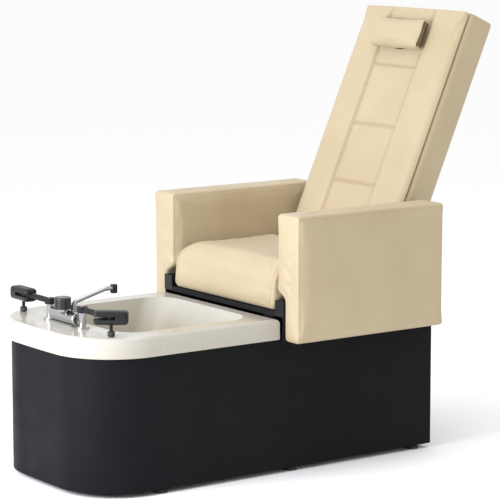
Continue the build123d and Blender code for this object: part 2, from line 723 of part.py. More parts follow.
beam_bottom = arm_bottom + 2.0
beam_wall = 4.0
for side, name in ((-1, "left"), (1, "right")):
    with BuildPart() as side_beam:
        with BuildSketch(Plane.XZ.offset(-(arm_front + 2))):
            with BuildLine():
                Polyline((side * beam_face, pan_bottom - 3), (side * beam_face, beam_top),
                         (side * beam_outer, beam_top), (side * beam_outer, beam_bottom),
                         (side * beam_inner, beam_bottom), (side * beam_inner, pan_bottom - 3), close=True)
            make_face()
            hollow_x = (beam_face + beam_outer) / 2
            with Locations((side * hollow_x, (pan_bottom - 3 + beam_top) / 2)):
                Rectangle(beam_outer - beam_face - 2 * beam_wall, beam_height - 2 * beam_wall,
                          mode=Mode.SUBTRACT)
        extrude(amount=-(arm_length - 22))
    write(side_beam, f"side_beam_{name}")

with BuildPart() as beam_end_caps:
    for side in (-1, 1):
        for y in (arm_front, arm_rear - 20):
            with Locations((side * (beam_face + beam_outer) / 2, y, (pan_bottom - 3 + beam_top) / 2)):
                Box(beam_outer - beam_face, 2, beam_height, align=(Align.CENTER, Align.MIN, Align.CENTER))
write(beam_end_caps, "beam_end_caps")

valance_top = beam_top - 14.0
with BuildPart() as rear_valance:
    with Locations((0, arm_rear - 18, board_top + 4)):
        Box(2 * beam_face, 4, valance_top - board_top - 4, align=(Align.CENTER, Align.MIN, Align.MIN))
    with Locations((-rail_x, arm_rear - 18, board_top), (rail_x, arm_rear - 18, board_top)):
        Box(rail_width + 6, 20, 2 * (rail_height + 3), mode=Mode.SUBTRACT)
    with Locations((0, arm_rear - 18, pan_bottom)):
        Box(2 * beam_face, arm_rear - 18 - cross_rear, 3, align=(Align.CENTER, Align.MAX, Align.MIN))
write(rear_valance, "rear_valance")

# ---------------------------------------------------------------- armrests
core_x = beam_outer + 20.0
core_bolt = 4.0
bolt_ys = (arm_front + 110.0, arm_front + 290.0, arm_front + 470.0)
bolt_z = beam_bottom + 30.0
for side, name in ((-1, "left"), (1, "right")):
    with BuildPart() as armrest:
        with BuildSketch(Plane.XZ.offset(-arm_front)):
            with BuildLine():
                Polyline((side * beam_outer, arm_bottom), (side * arm_outer, arm_bottom),
                         (side * arm_outer, arm_top), (side * arm_inner, arm_top),
                         (side * arm_inner, notch_top + arm_notch_bevel), (side * beam_outer, notch_top),
                         close=True)
            make_face()
        extrude(amount=-arm_length)
        fillet(armrest.edges().filter_by(Axis.Z), arm_edge)
        fillet(armrest.faces().sort_by(Axis.Z)[-1].edges(), arm_edge - 1)
        with Locations((side * (core_x + core_board / 2), arm_front + arm_length / 2, arm_bottom)):
            Box(core_board, arm_length - 60, arm_height - 40,
                align=(Align.CENTER, Align.CENTER, Align.MIN), mode=Mode.SUBTRACT)
        for y in bolt_ys:
            with Locations((side * beam_outer, y, bolt_z)):
                Cylinder(core_bolt, 2 * (core_x - beam_outer), rotation=(0, 90, 0), mode=Mode.SUBTRACT)
    write(armrest, f"armrest_{name}")

    with BuildPart() as arm_core:
        with Locations((side * (core_x + core_board / 2), arm_front + arm_length / 2, arm_bottom)):
            Box(core_board, arm_length - 60, arm_height - 40,
                align=(Align.CENTER, Align.CENTER, Align.MIN))
    write(arm_core, f"arm_core_{name}")

with BuildPart() as arm_bolts:
    for side in (-1, 1):
        for y in bolt_ys:
            with BuildSketch(Plane.YZ.offset(side * beam_outer)):
                with Locations((y, bolt_z)):
                    Circle(core_bolt)
            extrude(amount=side * (core_x - beam_outer))
write(arm_bolts, "arm_bolts")

# ---------------------------------------------------------------- seat cushion
seat_half_width = arm_inner - cushion_gap
seat_front = arm_front - 6.0
seat_rear = hinge_y + back_start * up_y + back_front * out_y - back_seat_gap
with BuildPart() as seat_cushion:
    with Locations((0, seat_front, pan_top)):
        Box(2 * seat_half_width, seat_rear - seat_front, seat_thickness,
            align=(Align.CENTER, Align.MIN, Align.MIN))
    fillet(seat_cushion.edges().filter_by(Axis.Z), 24)
    fillet(seat_cushion.faces().sort_by(Axis.Z)[-1].edges(), 22)
write(seat_cushion, "seat_cushion")

# ---------------------------------------------------------------- back hinge
lug_gauge = 12.0
lug_radius = 20.0
bracket_gauge = 10.0
bracket_inner = beam_face - bracket_gauge
lug_outer = back_half_width - 4.0
bracket_top = hinge_z + 24.0
with BuildPart() as hinge_brackets:
    for side in (-1, 1):
        with BuildSketch(Plane.YZ.offset(side * bracket_inner)):
            with Locations((hinge_y, (pan_bottom + hinge_z) / 2)):
                Rectangle(66, hinge_z - pan_bottom)
            with Locations((hinge_y, hinge_z)):
                Circle(24)
                Circle(hinge_pin_radius, mode=Mode.SUBTRACT)
        extrude(amount=side * bracket_gauge)
write(hinge_brackets, "hinge_brackets")

with BuildPart() as hinge_pins:
    for side in (-1, 1):
        pin_start = lug_outer - lug_gauge - 3.0
        with BuildSketch(Plane.YZ.offset(side * pin_start)):
            with Locations((hinge_y, hinge_z)):
                Circle(hinge_pin_radius)
        extrude(amount=side * (bracket_inner + bracket_gauge - pin_start))
write(hinge_pins, "hinge_pins")

# ---------------------------------------------------------------- reclining back
# pin of the recline drive, seen from the hinge, with the lever upright at mid travel
lever_lean = radians(recline_travel / 2)
pin_y = lever_drop * tan(lever_lean)
pin_z = -lever_drop
pin_u = pin_y * up_y + pin_z * up_z
pin_n = pin_y * out_y + pin_z * out_z
lever_pin = 5.0
lever_gauge = 10.0
rail_front_n = -28.0
rail_rear_n = -58.0
tube_n = -43.0
tube_radius = 10.0
tube_us = (80.0, back_height / 2, back_height - 45.0)
shell_wall = 9.0
side_plane = Plane(origin=(0, hinge_y, hinge_z), x_dir=(0, up_y, up_z), z_dir=(-1, 0, 0))
with BuildPart() as back_frame:
    for side in (-1, 1):
        offset = -side * lug_outer if side > 0 else lug_outer - lug_gauge
        with BuildSketch(side_plane.offset(offset)):
            with BuildLine():
                Polyline((back_height - 30, -rail_rear_n), (back_height - 30, -rail_front_n),
                         (60, -rail_front_n), (44, 13), (12, -16), (-12, -16), (-16, 12),
                         (30, -rail_rear_n), close=True)
            make_face()
            Circle(lug_radius)
            Circle(hinge_pin_radius + running_gap, mode=Mode.SUBTRACT)
        extrude(amount=lug_gauge)
    for u in tube_us:
        with BuildSketch(Plane.YZ.offset(-lug_outer + lug_gauge)):
            with Locations((hinge_y + u * up_y + tube_n * out_y, hinge_z + u * up_z + tube_n * out_z)):
                Circle(tube_radius)
        extrude(amount=2 * (lug_outer - lug_gauge))
    with BuildSketch(side_plane.offset(-lever_gauge / 2)):
        with Locations(((tube_us[0] + pin_u) / 2, -tube_n)):
            Rectangle(tube_us[0] - pin_u, 24)
        with Locations((pin_u, -pin_n)):
            Circle(12)
    extrude(amount=lever_gauge)
    with BuildSketch(side_plane.offset(-lever_gauge)):
        with Locations(Location((pin_u, -pin_n), -(recline_rest + recline_travel / 2))):
            SlotOverall(2 * lever_pin + 7, 2 * (lever_pin + loose_gap))
    extrude(amount=2 * lever_gauge, mode=Mode.SUBTRACT)
write(back_frame, "back_frame")

back_mid = (back_start + back_height) / 2
back_length = back_height - back_start
with BuildPart() as back_shell:
    with BuildSketch(back_plane(-back_rear)):
        with Locations((0, back_mid)):
            Rectangle(2 * back_half_width, back_length)
    extrude(amount=back_rear - back_split - joint_gap)
    fillet(back_shell.faces().sort_by(Axis((0, 0, 0), (0, out_y, out_z)))[0].edges(), back_corner)
    with BuildSketch(back_plane(-back_rear + shell_wall)):
        with Locations((0, back_mid - shell_wall)):
            Rectangle(2 * (back_half_width - 3.8), back_length)
    extrude(amount=back_rear, mode=Mode.SUBTRACT)
write(back_shell, "back_shell")

with BuildPart() as back_cushion:
    with BuildSketch(back_plane(-back_split)):
        with Locations((0, back_mid)):
            Rectangle(2 * back_half_width, back_length)
    extrude(amount=back_split + back_front)
    fillet(back_cushion.faces().sort_by(Axis((0, 0, 0), (0, out_y, out_z)))[-1].edges(), 18)
write(back_cushion, "back_cushion")

# ---------------------------------------------------------------- recline drive
drive_axis_z = hinge_z - lever_drop
fork_y = hinge_y + pin_y
rod_radius = 7.0
recline_tube_rear = hinge_y - 62.0
recline_tube_length = 160.0
cheek = 6.0
with BuildPart() as recline_rod:
    with BuildSketch(Plane.XZ.offset(-(recline_tube_rear - 120))):
        with Locations((0, drive_axis_z)):
            Circle(rod_radius)
    extrude(amount=-(fork_y - 22 - recline_tube_rear + 120))
    with Locations((0, fork_y - 22, drive_axis_z)):
        Box(2 * (lever_gauge / 2 + 1 + cheek), 8, 20, align=(Align.CENTER, Align.MAX, Align.CENTER))
    for side in (-1, 1):
        with Locations((side * (lever_gauge / 2 + 1 + cheek / 2), fork_y - 24, drive_axis_z)):
            Box(cheek, 34, 20, align=(Align.CENTER, Align.MIN, Align.CENTER))
    with Locations((0, fork_y, drive_axis_z)):
        Cylinder(lever_pin, 2 * (lever_gauge / 2 + 1 + cheek), rotation=(0, 90, 0), mode=Mode.SUBTRACT)
write(recline_rod, "recline_rod")

with BuildPart() as recline_pin:
    with Locations((0, fork_y, drive_axis_z)):
        Cylinder(lever_pin, 2 * (lever_gauge / 2 + 1 + cheek), rotation=(0, 90, 0))
write(recline_pin, "recline_pin")

with BuildPart() as recline_drive:
    with BuildSketch(Plane.XZ.offset(-(recline_tube_rear - recline_tube_length))):
        with Locations((0, drive_axis_z)):
            Circle(15)
            Circle(rod_radius + loose_gap, mode=Mode.SUBTRACT)
    extrude(amount=-recline_tube_length)
    with Locations((0, recline_tube_rear - recline_tube_length, drive_axis_z)):
        Box(50, 70, 44, align=(Align.CENTER, Align.MAX, Align.CENTER))
    with Locations((-50, recline_tube_rear - recline_tube_length - 35, drive_axis_z)):
        Cylinder(20, 60, rotation=(0, 90, 0))
    for y in (recline_tube_rear - 30, recline_tube_rear - recline_tube_length + 30):
        with Locations((0, y, pan_bottom)):
            Box(24, 20, pan_bottom - drive_axis_z - 13, align=(Align.CENTER, Align.CENTER, Align.MAX))
write(recline_drive, "recline_drive")

# ---------------------------------------------------------------- headrest
pillow_top = back_height - pillow_from_top
pillow_mid = pillow_top - pillow_height / 2
track_half = 20.0
track_gauge = 5.0
track_inset = 6.0
track_length = pillow_height - 2 * track_inset
carrier_gauge = 5.0
carrier_lip = 4.0
carrier_length = track_length - headrest_travel
carrier_mid = pillow_mid + (track_length - carrier_length) / 2
with BuildPart() as headrest_track:
    with BuildSketch(back_plane(back_front)):
        with Locations((0, pillow_mid)):
            RectangleRounded(2 * track_half, track_length, 6)
    extrude(amount=track_gauge)
write(headrest_track, "headrest_track")

with BuildPart() as headrest_carrier:
    with BuildSketch(back_plane(back_front + track_gauge + joint_gap)):
        with Locations((0, carrier_mid)):
            Rectangle(2 * (track_half + carrier_lip + joint_gap), carrier_length)
    extrude(amount=carrier_gauge)
    for side in (-1, 1):
        with BuildSketch(back_plane(back_front + 2 * joint_gap)):
            with Locations((side * (track_half + joint_gap + carrier_lip / 2), carrier_mid)):
                Rectangle(carrier_lip, carrier_length)
        extrude(amount=track_gauge)
write(headrest_carrier, "headrest_carrier")

pillow_back = back_front + track_gauge + carrier_gauge + joint_gap
with BuildPart() as headrest_pillow:
    with BuildSketch(back_plane(pillow_back)):
        with Locations((0, pillow_mid)):
            Rectangle(pillow_width, pillow_height)
    extrude(amount=pillow_depth)
    fillet(headrest_pillow.faces().sort_by(Axis((0, 0, 0), (0, out_y, out_z)))[-1].edges(), 14)
write(headrest_pillow, "headrest_pillow")
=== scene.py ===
"""Looks of a pedicure spa chair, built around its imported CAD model. Metres, +Z up, basin end to -Y."""

from math import cos, radians, sin

import bmesh
import bpy
import numpy as np
from mathutils import Matrix, Vector
from mathutils.bvhtree import BVHTree
from mathutils.kdtree import KDTree


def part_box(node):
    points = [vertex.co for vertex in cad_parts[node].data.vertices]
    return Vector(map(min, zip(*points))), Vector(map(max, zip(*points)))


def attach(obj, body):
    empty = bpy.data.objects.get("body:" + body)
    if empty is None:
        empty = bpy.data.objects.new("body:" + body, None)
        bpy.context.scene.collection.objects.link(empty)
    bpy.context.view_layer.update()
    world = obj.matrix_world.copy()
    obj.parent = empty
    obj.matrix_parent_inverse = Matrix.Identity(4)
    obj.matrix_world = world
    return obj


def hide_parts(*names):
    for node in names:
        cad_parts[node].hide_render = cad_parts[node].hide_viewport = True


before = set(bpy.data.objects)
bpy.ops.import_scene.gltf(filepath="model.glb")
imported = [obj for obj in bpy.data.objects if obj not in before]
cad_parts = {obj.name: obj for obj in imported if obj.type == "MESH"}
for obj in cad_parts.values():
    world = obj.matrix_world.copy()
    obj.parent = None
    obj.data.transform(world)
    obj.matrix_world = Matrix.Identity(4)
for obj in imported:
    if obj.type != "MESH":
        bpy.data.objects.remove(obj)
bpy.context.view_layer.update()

# ------------------------------------------------------------------ camera
# A long lens a few metres off the basin end's near corner, a little above seat height.
VIEW_TURN = radians(54.41)
VIEW_DROP = radians(8.60)
camera_data = bpy.data.cameras.new("camera")
camera_data.sensor_width = 36.0
camera_data.lens = 172.98
camera_data.shift_x = -0.0158
camera_data.shift_y = -0.0148
camera_data.clip_end = 60.0
camera = bpy.data.objects.new("camera", camera_data)
bpy.context.scene.collection.objects.link(camera)
looking = Vector((-sin(VIEW_TURN) * cos(VIEW_DROP), cos(VIEW_TURN) * cos(VIEW_DROP), -sin(VIEW_DROP)))
camera.location = (6.16519, -4.37286, 1.82027)
camera.rotation_mode = "QUATERNION"
camera.rotation_quaternion = looking.to_track_quat("-Z", "Y")
bpy.context.scene.camera = camera

# ------------------------------------------------------------------ floor and light
# A pale studio floor that runs out of sight, an even white surround, and one soft key
# light from the basin end that leaves the long sides in half shade.
FLOOR_REACH = 40.0
bpy.context.scene.view_settings.view_transform = "Standard"
floor_mesh = bpy.data.meshes.new("studio_floor")
floor_corners = [(-FLOOR_REACH, -FLOOR_REACH, 0), (FLOOR_REACH, -FLOOR_REACH, 0),
                 (FLOOR_REACH, FLOOR_REACH, 0), (-FLOOR_REACH, FLOOR_REACH, 0)]
floor_mesh.from_pydata(floor_corners, [], [(0, 1, 2, 3)])
studio_floor = bpy.data.objects.new("studio_floor", floor_mesh)
bpy.context.scene.collection.objects.link(studio_floor)
floor_paint = bpy.data.materials.new("floor_paint")
floor_paint.use_nodes = True
floor_shader = floor_paint.node_tree.nodes["Principled BSDF"]
floor_shader.inputs["Base Color"].default_value = (0.97, 0.967, 0.97, 1)
floor_shader.inputs["Roughness"].default_value = 0.9
floor_shader.inputs["Specular IOR Level"].default_value = 0.1
floor_mesh.materials.append(floor_paint)

surround = bpy.data.worlds.new("surround")
surround.use_nodes = True
surround.node_tree.nodes["Background"].inputs["Color"].default_value = (1.0, 1.0, 1.0, 1)
surround.node_tree.nodes["Background"].inputs["Strength"].default_value = 1.0
bpy.context.scene.world = surround


def soft_lamp(name, place, aim, size, power, colour):
    """A square soft box that shines from place towards aim."""
    data = bpy.data.lights.new(name, "AREA")
    data.shape = "SQUARE"
    data.size = size
    data.energy = power
    data.color = colour
    lamp = bpy.data.objects.new(name, data)
    bpy.context.scene.collection.objects.link(lamp)
    lamp.location = place
    lamp.rotation_mode = "QUATERNION"
    lamp.rotation_quaternion = (Vector(aim) - Vector(place)).to_track_quat("-Z", "Y")


soft_lamp("key_light", (0.3, -2.8, 1.3), (0.1, 0, 0.65), 1.4, 100.0, (0.90, 0.93, 1.0))
soft_lamp("top_light", (0, 0.2, 4.2), (0, 0.1, 0.5), 2.4, 37.0, (1.0, 1.0, 1.0))

# ------------------------------------------------------------------ levelling feet and frame
# Six rubber pads on zinc-plated threaded stems carry a welded frame of black-painted steel
# angle. The stems screw into nuts under the frame's long rails.
SURFACE_NOISE_DETAIL = 4.0


def new_finish(name, colour, roughness, metallic=0.0):
    """A material with its shader and a node that gives the object's own coordinates."""
    material = bpy.data.materials.new(name)
    material.use_nodes = True
    tree = material.node_tree
    shader = tree.nodes["Principled BSDF"]
    shader.inputs["Base Color"].default_value = (*colour, 1)
    shader.inputs["Roughness"].default_value = roughness
    shader.inputs["Metallic"].default_value = metallic
    place = tree.nodes.new("ShaderNodeTexCoord").outputs["Object"]
    return material, tree, shader, place


def noise_of(tree, place, scale, detail=SURFACE_NOISE_DETAIL, stretch=None):
    """A noise pattern of that many cells a metre, stretched along an axis if asked."""
    if stretch:
        mapping = tree.nodes.new("ShaderNodeMapping")
        mapping.inputs["Scale"].default_value = stretch
        tree.links.new(place, mapping.inputs["Vector"])
        place = mapping.outputs["Vector"]
    noise = tree.nodes.new("ShaderNodeTexNoise")
    noise.inputs["Scale"].default_value = scale
    noise.inputs["Detail"].default_value = detail
    tree.links.new(place, noise.inputs["Vector"])
    return noise.outputs["Fac"]


def raised(tree, shader, height, depth, strength=1.0):
    """Adds a height pattern of that depth in metres to the surface, over any there is."""
    bump = tree.nodes.new("ShaderNodeBump")
    bump.inputs["Distance"].default_value = depth
    bump.inputs["Strength"].default_value = strength
    tree.links.new(height, bump.inputs["Height"])
    if shader.inputs["Normal"].is_linked:
        tree.links.new(shader.inputs["Normal"].links[0].from_socket, bump.inputs["Normal"])
    tree.links.new(bump.outputs["Normal"], shader.inputs["Normal"])


def ranged(tree, fac, low, high, target):
    """Feeds target from a pattern spread between two values."""
    spread = tree.nodes.new("ShaderNodeMapRange")
    spread.inputs["From Min"].default_value = 0.3
    spread.inputs["From Max"].default_value = 0.7
    spread.inputs["To Min"].default_value = low
    spread.inputs["To Max"].default_value = high
    tree.links.new(fac, spread.inputs["Value"])
    tree.links.new(spread.outputs["Result"], target)


def tinted(tree, fac, colour_a, colour_b, target, low=0.3, high=0.7):
    """Feeds a colour socket from a pattern that runs between two colours."""
    ramp = tree.nodes.new("ShaderNodeValToRGB")
    ramp.color_ramp.elements[0].position = low
    ramp.color_ramp.elements[0].color = (*colour_a, 1)
    ramp.color_ramp.elements[1].position = high
    ramp.color_ramp.elements[1].color = (*colour_b, 1)
    tree.links.new(fac, ramp.inputs["Fac"])
    tree.links.new(ramp.outputs["Color"], target)


def worn_finish(name, colour, roughness, grain, depth, metallic=0.0, fade=0.85, patch=9.0):
    """Paint, rubber, plastic or metal with a fine surface grain and slightly uneven wear."""
    material, tree, shader, place = new_finish(name, colour, roughness, metallic)
    patches = noise_of(tree, place, patch)
    tinted(tree, patches, [c * fade for c in colour], colour, shader.inputs["Base Color"])
    ranged(tree, patches, roughness * 0.85, roughness * 1.2, shader.inputs["Roughness"])
    raised(tree, shader, noise_of(tree, place, grain), depth, 0.6)
    return material, shader


def finish(material, *nodes):
    """Gives CAD nodes a finish in place of the one they came with."""
    for name in nodes:
        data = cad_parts[name].data
        data.materials.clear()
        data.materials.append(material)


rubber, _ = worn_finish("rubber", (0.03, 0.03, 0.03), 0.75, 1400, 0.0002)
zinc_plate, _ = worn_finish("zinc_plate", (0.66, 0.66, 0.63), 0.34, 900, 0.00005, metallic=1.0)
frame_paint, frame_shader = worn_finish("frame_paint", (0.012, 0.012, 0.013), 0.42, 700, 0.00012)
frame_shader.inputs["Specular IOR Level"].default_value = 0.15
finish(rubber, "foot_pads")
finish(zinc_plate, "foot_stems")
finish(frame_paint, "base_frame")

# ------------------------------------------------------------------ cabinet
# Plywood bent round the front corners and faced with black laminate, a rear service panel
# in the same laminate held by six screws, and a painted board that carries the seat slide.
LAMINATE_COLOUR = (0.0048, 0.0051, 0.0064)
LAMINATE_DUST = (0.0068, 0.0073, 0.0086)

laminate, tree, shader, place = new_finish("black_laminate", LAMINATE_COLOUR, 0.5)
tinted(tree, noise_of(tree, place, 2.2, 6), LAMINATE_COLOUR, LAMINATE_DUST, shader.inputs["Base Color"])
ranged(tree, noise_of(tree, place, 14, 5), 0.46, 0.6, shader.inputs["Roughness"])
raised(tree, shader, noise_of(tree, place, 950, 3), 0.00008, 0.7)
raised(tree, shader, noise_of(tree, place, 7, 2), 0.0012, 0.12)
shader.inputs["Specular IOR Level"].default_value = 0.08
finish(laminate, "cabinet_shell", "rear_panel")

painted_board, board_shader = worn_finish("painted_board", (0.012, 0.012, 0.012), 0.6, 420, 0.0002)
board_shader.inputs["Specular IOR Level"].default_value = 0.12
finish(painted_board, "seat_board", "seat_pan")
finish(zinc_plate, "panel_screws")

# cross recesses pressed into the heads of the panel screws, drawn as thin black crosses: painted shade for
# the hollows, not cut in
SCREW_ARM = 0.0031
SCREW_CUT = 0.0009
SCREW_DEPTH = 0.0004
SCREW_INSET = 0.0045
SCREW_HEIGHTS = (0.080, 0.250, 0.404)
recess_shade_mesh = bpy.data.meshes.new("screw_recess_shade")
recess = bmesh.new()
screw_low, screw_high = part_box("panel_screws")
head_y = screw_high.y
for screw_x in (screw_low.x + SCREW_INSET, screw_high.x - SCREW_INSET):
    for screw_z in SCREW_HEIGHTS:
        for along_x, along_z in ((SCREW_ARM, SCREW_CUT), (SCREW_CUT, SCREW_ARM)):
            bar = bmesh.ops.create_cube(recess, size=1.0)["verts"]
            bmesh.ops.scale(recess, vec=(2 * along_x, SCREW_DEPTH, 2 * along_z), verts=bar)
            bmesh.ops.translate(recess, vec=(screw_x, head_y, screw_z), verts=bar)
recess.to_mesh(recess_shade_mesh)
recess.free()
screw_recess_shade = bpy.data.objects.new("screw_recess_shade", recess_shade_mesh)
bpy.context.scene.collection.objects.link(screw_recess_shade)
recess_shade_mesh.materials.append(frame_paint)
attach(screw_recess_shade, "base")

# ------------------------------------------------------------------ services in the cabinet
# Two braided supply hoses to brass bulkhead fittings, a mains inlet, and a control box on a
# steel shelf. A panel at the rear gives access to all of them.
brass, _ = worn_finish("brass", (0.68, 0.50, 0.23), 0.28, 800, 0.00005, metallic=1.0)
black_plastic, plastic_shader = worn_finish("black_plastic", (0.013, 0.013, 0.014), 0.4, 1500, 0.00008)
plastic_shader.inputs["Specular IOR Level"].default_value = 0.25
grey_plastic, _ = worn_finish("grey_plastic", (0.30, 0.31, 0.32), 0.5, 1200, 0.0001)
motor_paint, _ = worn_finish("motor_paint", (0.07, 0.075, 0.08), 0.45, 800, 0.0001)
finish(brass, "water_inlets", "shank_nuts")
finish(black_plastic, "power_inlet")
finish(grey_plastic, "control_box", "drain_pipe", "jet_housing", "jet_impeller")
finish(frame_paint, "service_shelf")

hose_braid, tree, shader, place = new_finish("hose_braid", (0.55, 0.55, 0.56), 0.35, 1.0)
strands = tree.nodes.new("ShaderNodeTexWave")
strands.wave_type = "BANDS"
strands.bands_direction = "DIAGONAL"
strands.inputs["Scale"].default_value = 260
strands.inputs["Distortion"].default_value = 1.5
tree.links.new(place, strands.inputs["Vector"])
raised(tree, shader, strands.outputs["Fac"], 0.0006, 0.8)
# the braid's colour follows its height, darker down in the grooves between strands: painted shade
tinted(tree, strands.outputs["Fac"], (0.2, 0.2, 0.21), (0.6, 0.6, 0.61), shader.inputs["Base Color"],
       0.0, 0.6)
finish(hose_braid, "supply_hoses")

# ------------------------------------------------------------------ basin
# One vacuum-formed white acrylic shell: a deep foot bowl, a flat deck for the fittings and a
# rolled rim that overhangs the cabinet. It is glossy; its darker, yellower colour down in the bowl is
# painted shade.
ACRYLIC_DECK = (0.44, 0.42, 0.365)
ACRYLIC_BOWL_SHADE = (0.36, 0.30, 0.21)
BOWL_FLOOR = 0.27
DECK_LEVEL = 0.488
DECK_EDGE = 0.004

acrylic, tree, shader, place = new_finish("white_acrylic", ACRYLIC_DECK, 0.22)
split = tree.nodes.new("ShaderNodeSeparateXYZ")
tree.links.new(place, split.inputs["Vector"])
# the colour runs from the deck's down to a darker one at the bowl's floor: painted shade in the bowl
bowl_shade_share = tree.nodes.new("ShaderNodeMapRange")
bowl_shade_share.inputs["From Min"].default_value = BOWL_FLOOR
bowl_shade_share.inputs["From Max"].default_value = DECK_LEVEL - DECK_EDGE
tree.links.new(split.outputs["Z"], bowl_shade_share.inputs["Value"])
tinted(tree, bowl_shade_share.outputs["Result"], ACRYLIC_BOWL_SHADE, ACRYLIC_DECK, shader.inputs["Base Color"],
       0.0, 1.0)
ranged(tree, noise_of(tree, place, 18, 5), 0.17, 0.29, shader.inputs["Roughness"])
raised(tree, shader, noise_of(tree, place, 60, 2), 0.0004, 0.08)
shader.inputs["Coat Weight"].default_value = 0.35
shader.inputs["Coat Roughness"].default_value = 0.08
finish(acrylic, "basin")

# ------------------------------------------------------------------ waste and whirlpool jet
# Chromed strainer and lift-out stopper in the bowl's floor, a plastic tail pipe, and a
# chromed cover over the whirlpool impeller, whose painted motor hangs below.
chrome, _ = worn_finish("chrome", (0.48, 0.48, 0.49), 0.12, 500, 0.00002, metallic=1.0, fade=0.94)
finish(chrome, "drain_strainer", "drain_stopper", "jet_cover")
finish(motor_paint, "jet_motor")

# ------------------------------------------------------------------ faucet
# A cast and chromed bar body, a ribbed black mixer knob, a bent chrome tube spout that turns
# in the body, and a black aerator pushed over its end.
knob_plastic, knob_shader = worn_finish("knob_plastic", (0.010, 0.010, 0.011), 0.3, 1600, 0.00006)
knob_shader.inputs["Coat Weight"].default_value = 0.2
finish(chrome, "faucet_body", "spout")
finish(knob_plastic, "mixer_knob")
finish(black_plastic, "spout_nozzle")

# a moulded pointer line on the knob's top, hot to one side and cold to the other
knob_low, knob_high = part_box("mixer_knob")
knob_x, knob_y = (knob_low.x + knob_high.x) / 2, (knob_low.y + knob_high.y) / 2
POINTER_LENGTH = 0.012
POINTER_WIDTH = 0.0018
POINTER_PROUD = 0.0008
POINTER_OFFSET = 0.007
pointer_mesh = bpy.data.meshes.new("knob_pointer")
pointer = bmesh.new()
bar = bmesh.ops.create_cube(pointer, size=1.0)["verts"]
bmesh.ops.scale(pointer, vec=(POINTER_WIDTH, POINTER_LENGTH, POINTER_PROUD), verts=bar)
bmesh.ops.translate(pointer, vec=(knob_x, knob_y - POINTER_OFFSET, knob_high.z + 0.0001), verts=bar)
bmesh.ops.bevel(pointer, geom=list(pointer.edges), offset=0.0003, segments=2, affect="EDGES")
pointer.to_mesh(pointer_mesh)
pointer.free()
knob_pointer = bpy.data.objects.new("knob_pointer", pointer_mesh)
bpy.context.scene.collection.objects.link(knob_pointer)
white_print, _ = worn_finish("white_print", (0.75, 0.75, 0.74), 0.5, 900, 0.00003)
pointer_mesh.materials.append(white_print)
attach(knob_pointer, "mixer")

# ------------------------------------------------------------------ footrests
# Chromed posts and black-painted swing arms with rubber skids. Each arm carries a pad of black moulded
# foam with a skin, slotted over the arm's flat tongue, which turns on the arm's pin.
PAD_LENGTH = 0.106
PAD_DEPTH = 0.046
PAD_HEIGHT = 0.044
PAD_SKIN = 0.0012
PAD_VOXEL = 0.0026
SLOT_INNER = 0.0135
SLOT_HALF = 0.005
PIN_HOLE = 0.00505
PAD_EDGE = 0.011
PAD_PRESSURE = 2.0
PAD_CAP = 0.0022
PAD_FRAMES = 12
finish(chrome, "footrest_post_left", "footrest_post_right")
finish(frame_paint, "footrest_arm_left", "footrest_arm_right")
finish(rubber, "footrest_skid_left", "footrest_skid_right")

pad_skin, pad_shader = worn_finish("pad_skin", (0.012, 0.0125, 0.013), 0.36, 1100, 0.00018)
pad_shader.inputs["Specular IOR Level"].default_value = 0.2
pad_shader.inputs["Coat Weight"].default_value = 0.05
pad_shader.inputs["Coat Roughness"].default_value = 0.3


def shown(name, mesh):
    """A new object of that mesh in the scene, at the origin."""
    thing = bpy.data.objects.new(name, mesh)
    bpy.context.scene.collection.objects.link(thing)
    return thing


def applied(thing):
    """Turns an object's modifiers into its plain mesh."""
    bpy.context.view_layer.update()
    made = bpy.data.meshes.new_from_object(thing.evaluated_get(bpy.context.evaluated_depsgraph_get()))
    made.name = thing.name
    thing.modifiers.clear()
    thing.data = made
    return thing


def extruded(name, outline, start, end, axis, edge):
    """A closed block: an outline in the plane across axis, run from start to end, its edges rounded."""
    block = bmesh.new()
    order = {"X": lambda a, b, c: (c, a, b),
             "Y": lambda a, b, c: (a, c, b),
             "Z": lambda a, b, c: (a, b, c)}[axis]
    loop = [block.verts.new(order(a, b, start)) for a, b in outline]
    face = block.faces.new(loop)
    moved = bmesh.ops.extrude_face_region(block, geom=[face])["geom"]
    shift = Vector(order(0, 0, end - start))
    bmesh.ops.translate(block, vec=shift, verts=[v for v in moved if isinstance(v, bmesh.types.BMVert)])
    bmesh.ops.recalc_face_normals(block, faces=block.faces)
    mesh = bpy.data.meshes.new(name)
    block.to_mesh(mesh)
    block.free()
    thing = shown(name, mesh)
    rounding = thing.modifiers.new("rounding", "BEVEL")
    rounding.width = edge
    rounding.segments = 5
    rounding.limit_method = "ANGLE"
    rounding.angle_limit = radians(40)
    return applied(thing)


def coords(thing):
    """The object's points as an array."""
    found = np.zeros(len(thing.data.vertices) * 3, np.float32)
    thing.data.vertices.foreach_get("co", found)
    return found.reshape(-1, 3).astype(float)


def set_coords(thing, points):
    """Puts an array back as the object's points."""
    thing.data.vertices.foreach_set("co", points.astype(np.float32).ravel())
    thing.data.update()


